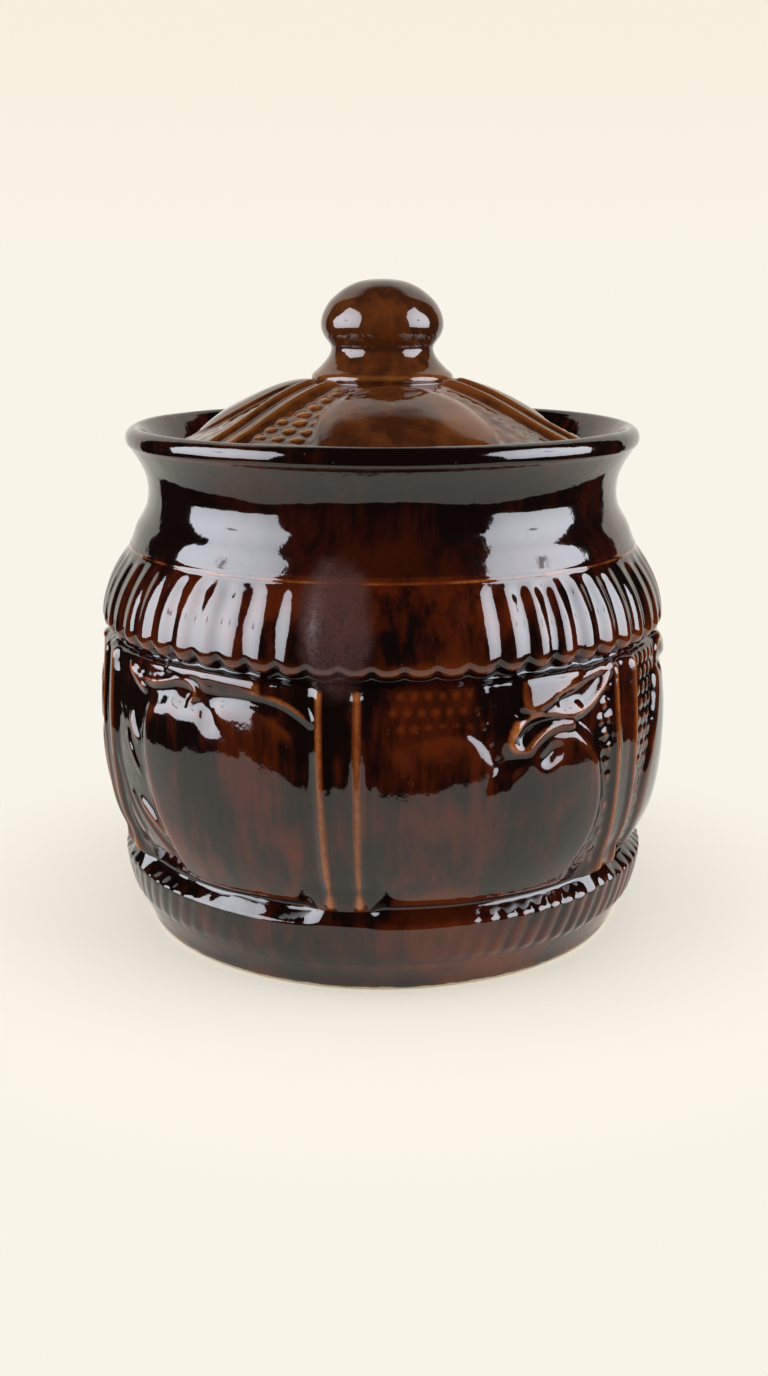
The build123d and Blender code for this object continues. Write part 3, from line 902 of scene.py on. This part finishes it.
# The pool attribute also holds painted shade and even darkening, which darken the colour in the same way
pool_range, pool_strength = (0.10, 0.9), 0.85
clay_colour = (0.56, 0.46, 0.34, 1)
clay_shares = (0.72, 0.68, 0.62, 1)

# Gloss of the glaze, and the depth in metres of its swell, peel and pits
gloss_least, gloss_spread, clay_roughness = 0.035, 0.05, 0.75
swell_depth, peel_depth, pit_depth = 0.00026, 0.000030, 0.00003
glaze_ior = 1.58

# The patch of rougher glaze, whose grey-purple colour is a painted dull reflection: its place, half its size
# and its lean, and how ragged and grainy it is
haze_centre = (-0.0125, -0.083, 0.108)
haze_half_size = (0.0105, 0.03, 0.019)
haze_lean = 24
haze_reflection_colour = (0.062, 0.027, 0.024, 1)
haze_pattern, haze_uneven, haze_ends = (130.0, 4.0), 0.5, (0.95, 1.35)
haze_grain_pattern, haze_grains, haze_least = (1500.0, 1.0), (0.30, 0.62), 0.66
haze_reflection_strength, haze_roughness = 0.75, 0.20

dark_colours = {"dark": (0.0040, 0.0016, 0.0013, 1), "body": (0.054, 0.0076, 0.0020, 1),
                "warm": (0.125, 0.0225, 0.0036, 1), "edge": (0.30, 0.098, 0.024, 1)}
honey_colours = {"dark": (0.038, 0.0110, 0.0040, 1), "body": (0.100, 0.0260, 0.0062, 1),
                 "warm": (0.170, 0.050, 0.0105, 1), "edge": (0.38, 0.145, 0.036, 1)}


def new_material(name):
    """An empty material, and the short hand for its nodes."""
    material = bpy.data.materials.new(name)
    material.use_nodes = True
    return material, Nodes(material.node_tree)


def haze_patch(n, where):
    """One grainy patch on the shoulder where the glaze is rougher, with a painted dull reflection for its
    colour.
    """
    off = n.add("VectorMath", i0=where, i1=haze_centre)
    off.operation = "SUBTRACT"
    shares = tuple(1 / half for half in haze_half_size)
    far = n.length(n.mapped(off.outputs[0], shares, rotation=(0, radians(haze_lean), 0)))
    ragged = n.plus(far, n.times(n.noise(where, *haze_pattern), haze_uneven))
    grains = n.ramp(n.noise(where, *haze_grain_pattern), *haze_grains)
    grainy = n.plus(haze_least, n.times(grains, 1 - haze_least))
    return n.times(n.minus(1.0, n.ramp(ragged, *haze_ends)), grainy)


def glaze_colour(n, where, streaks, dark, body, warm, edge):
    """Darker where the glaze pools and where shade is painted, warmer where it is thin, amber where it breaks
    over an edge.
    """
    thin, pool, rise = (n.attribute(key) for key in ("thin", "pool", "rise"))
    clouds = n.noise(where, *clouds_pattern)
    red = n.plus(n.times(streaks, streaks_weight), n.times(clouds, clouds_weight))
    colour = n.mix(n.ramp(red, *red_range), dark, body)
    warmth = n.plus(n.times(thin, thin_warmth), n.times(rise, rise_warmth))
    warmth = n.ramp(n.plus(clouds, warmth), *warm_range)
    colour = n.mix(n.times(warmth, warm_strength), colour, warm)
    broken = n.uneven(thin, n.noise(where, *grain_pattern), grain_broken)
    broken = n.uneven(broken, streaks, streaks_broken)
    colour = n.mix(n.ramp(broken, *edge_range), colour, edge)
    colour = n.mix(n.times(n.ramp(pool, *pool_range), pool_strength), colour, dark)
    patchy = n.ramp(n.noise(where, *patch_pattern), *patch_range)
    speck = n.times(n.spots(where, speck_scale, speck_size), patchy)
    return n.mix(n.times(speck, speck_strength), colour, warm)


def glaze_bump(n, where):
    """The slow swell of a thick glaze, its fine peel and its pits."""
    swell = n.times(n.noise(where, *swell_pattern), swell_depth)
    peel = n.times(n.noise(where, *peel_pattern), peel_depth)
    pits = n.times(n.spots(where, pit_scale, pit_size), pit_depth)
    height = n.minus(n.plus(swell, peel), pits)
    return n.add("Bump", Strength=1.0, Distance=1.0, Height=height).outputs[0]


def glaze(name, colours, haze=False):
    """Glossy glaze over clay, which is bare where the piece stands in the kiln."""
    material, n = new_material(name)
    where = n.add("TexCoord").outputs["Object"]
    streaks = n.noise(n.mapped(where, streaks_stretch), *streaks_pattern)
    colour = glaze_colour(n, where, streaks, **colours)
    clay_shade = tuple(tone * share for tone, share in zip(clay_colour, clay_shares))
    clay = n.mix(n.noise(where, *clay_pattern), clay_colour, clay_shade)
    ragged = n.uneven(n.attribute("bare"), n.noise(where, *bare_pattern), bare_uneven)
    unglazed = n.ramp(ragged, *bare_edge)
    colour = n.mix(unglazed, colour, clay)
    rough = n.plus(n.times(n.noise(where, *gloss_pattern), gloss_spread), gloss_least)
    rough = n.plus(rough, n.times(unglazed, clay_roughness))
    if haze:
        # Painted reflection: the patch's colour stands in for a dull grey reflection, and its added roughness
        # is the rougher glaze
        matt_and_reflection = haze_patch(n, where)
        colour = n.mix(n.times(matt_and_reflection, haze_reflection_strength), colour, haze_reflection_colour)
        rough = n.plus(rough, n.times(matt_and_reflection, haze_roughness))
    shader = n.add("BsdfPrincipled", Roughness=rough, Normal=glaze_bump(n, where), IOR=glaze_ior)
    n.put(shader, "Base Color", colour)
    n.add("OutputMaterial", Surface=shader.outputs[0])
    return material


# Studio

camera_place, camera_pitch = (0.0005, -0.4663, 0.1941), 14.96
focal_share = 1487 / 1376  # focal length as a share of the frame's height
camera_sensor, camera_clip = 36.0, (0.01, 50)

floor_half_size, floor_corners = 12.0, ((-1, -1), (1, -1), (1, 1), (-1, 1))
table_front, table_left, table_right = -0.253, -0.315, 0.288
backdrop_spread = 1.19  # how far the backdrop reaches to each side for each metre behind the jar
backdrop_colour = (0.945, 0.903, 0.808, 1)
backdrop_top = (0.922, 0.871, 0.748, 1)
backdrop_rises = (-0.02, 0.18)
floor_colour = (0.925, 0.885, 0.800, 1)
floor_blend = 0.32  # how much the floor under the jar is the plain backdrop
blend_starts = (0.10, 0.19)
dark_room = (0.008, 0.008, 0.009, 1)
ambient_colour = (0.84, 0.83, 0.81, 1)
mirrored_behind, mirrored_low = (0.645, 0.665), (0.76, 0.90)

# Soft boxes: name, azimuth, elevation, width, height, and -1 where the outline is mirrored
softboxes = (
    ("softbox_left", -73.0, 20.0, 0.84, 0.95, -1),
    ("softbox_right", 74.0, 20.0, 0.76, 0.95, 1),
)
box_distance = 0.8
box_aim = (0, 0, 0.11)
panel_corners = ((-1, -1), (0.95, -1), (0.95, -0.15), (0.36, 0.88), (-0.42, 0.88), (-1, 0.32))
box_glow = 9.5
box_colour = (0.90, 0.92, 1.0, 1)
box_core, box_least = (0.015, 0.05), 0.25
box_falls, box_fall = (0.05, 0.62), 0.34
lamp_power = 3.9
lamp_colour = (1.0, 0.985, 0.96)


def make_camera():
    data = bpy.data.cameras.new("camera")
    data.sensor_width = camera_sensor
    data.lens = data.sensor_width * focal_share
    data.clip_start, data.clip_end = camera_clip
    camera = new_object("camera", data)
    camera.location = camera_place
    camera.rotation_euler = (radians(90 - camera_pitch), 0, 0)
    bpy.context.scene.camera = camera


def flat_mesh(name, corners):
    """An object with one flat face."""
    mesh = bpy.data.meshes.new(name)
    mesh.from_pydata([(x, y, 0) for x, y in corners], [], [tuple(range(len(corners)))])
    return new_object(name, mesh)


def make_floor():
    """A pale table top. Its mirror image ends where the real one's front and sides end."""
    floor = flat_mesh("floor", [(floor_half_size * x, floor_half_size * y) for x, y in floor_corners])
    material, n = new_material("table")
    place = n.add("NewGeometry").outputs["Position"]
    x, y, _ = n.add("SeparateXYZ", Vector=place).outputs
    lit = n.add("BsdfDiffuse", Color=floor_colour)
    far = n.add("Emission", Color=backdrop_colour, Strength=1.0)
    away = n.times(n.ramp(n.length(place), *blend_starts), 1 - floor_blend)
    distance = n.plus(floor_blend, away)
    seen = n.add("MixShader", i0=distance, i1=lit.outputs[0], i2=far.outputs[0])
    room = n.add("Emission", Color=dark_room, Strength=1.0)
    on_table = n.times(n.math("GREATER_THAN", y, table_front), n.math("GREATER_THAN", x, table_left))
    on_table = n.times(on_table, n.math("LESS_THAN", x, table_right))
    beside = n.math("LESS_THAN", n.math("ABSOLUTE", x), n.times(y, backdrop_spread))
    on_table = n.math("MAXIMUM", on_table, beside)
    glossy = n.add("LightPath").outputs["Is Glossy Ray"]
    off_table = n.times(glossy, n.minus(1.0, on_table))
    done = n.add("MixShader", i0=off_table, i1=seen.outputs[0], i2=room.outputs[0])
    n.add("OutputMaterial", Surface=done.outputs[0])
    floor.data.materials.append(material)


def make_world():
    """Pale for the camera. The glaze mirrors a pale backdrop behind the jar and a dark room before it."""
    world = bpy.data.worlds.new("studio")
    bpy.context.scene.world = world
    world.use_nodes = True
    n = Nodes(world.node_tree)
    way = n.add("SeparateXYZ", Vector=n.add("TexCoord").outputs["Generated"])
    x, y, z = way.outputs
    flat = n.math("POWER", n.plus(n.times(x, x), n.times(y, y)), 0.5)
    behind = n.ramp(n.math("DIVIDE", y, flat), *mirrored_behind)
    low = n.minus(1.0, n.ramp(z, *mirrored_low))
    mirrored = n.mix(n.times(behind, low), dark_room, backdrop_colour)
    path = n.add("LightPath")
    seen = n.mix(n.ramp(z, *backdrop_rises), backdrop_colour, backdrop_top)
    ambient = n.mix(path.outputs["Is Diffuse Ray"], seen, ambient_colour)
    colour = n.mix(path.outputs["Is Glossy Ray"], ambient, mirrored)
    background = n.add("Background", Color=colour, Strength=1.0)
    n.add("OutputWorld", Surface=background.outputs[0])


def towards(azimuth, elevation, distance):
    a, e = radians(azimuth), radians(elevation)
    return np.array([np.sin(a) * np.cos(e), -np.cos(a) * np.cos(e), np.sin(e)]) * distance


def glow_material(name):
    """A soft box's face: darker in its middle, and falling off towards its edges."""
    material, n = new_material(name)
    off = n.length(n.add("TexCoord").outputs["Object"])
    core = n.plus(box_least, n.times(n.ramp(off, *box_core), 1 - box_least))
    fall = n.minus(1.0, n.times(n.ramp(off, *box_falls), box_fall))
    level = n.times(n.times(fall, core), box_glow)
    glow = n.add("Emission", Color=box_colour, Strength=level)
    n.add("OutputMaterial", Surface=glow.outputs[0])
    return material


def make_softboxes():
    """Two large soft boxes beside the camera: a lamp for the light, and a panel for its mirror image."""
    for name, azimuth, elevation, wide, high, side in softboxes:
        place = Vector(towards(azimuth, elevation, box_distance) + np.array(box_aim))
        turn = (Vector(box_aim) - place).to_track_quat("-Z", "Y")
        lamp = bpy.data.lights.new(name + "_lamp", "AREA")
        lamp.shape, lamp.size, lamp.size_y, lamp.energy = "RECTANGLE", wide, high, lamp_power
        lamp.color = lamp_colour
        holder = new_object(name + "_lamp", lamp)
        corners = [(side * x * wide / 2, y * high / 2) for x, y in panel_corners]
        panel = flat_mesh(name, corners[::side])
        for thing in (holder, panel):
            thing.location, thing.rotation_mode, thing.rotation_quaternion = place, "QUATERNION", turn
        holder.visible_glossy = holder.visible_camera = False
        panel.visible_camera = panel.visible_diffuse = False
        panel.visible_shadow = panel.visible_transmission = False
        panel.data.materials.append(glow_material(name))


# Build

make_camera()
make_world()
make_floor()
make_softboxes()

jar = make_jar()
jar.data.materials.append(glaze("dark_glaze", dark_colours, haze=True))
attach(jar, "jar")
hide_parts("jar_body")

lid = make_lid()
lid.data.materials.append(glaze("honey_glaze", honey_colours))
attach(lid, "lid")
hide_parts("lid")

bpy.context.scene.view_settings.view_transform = "Standard"
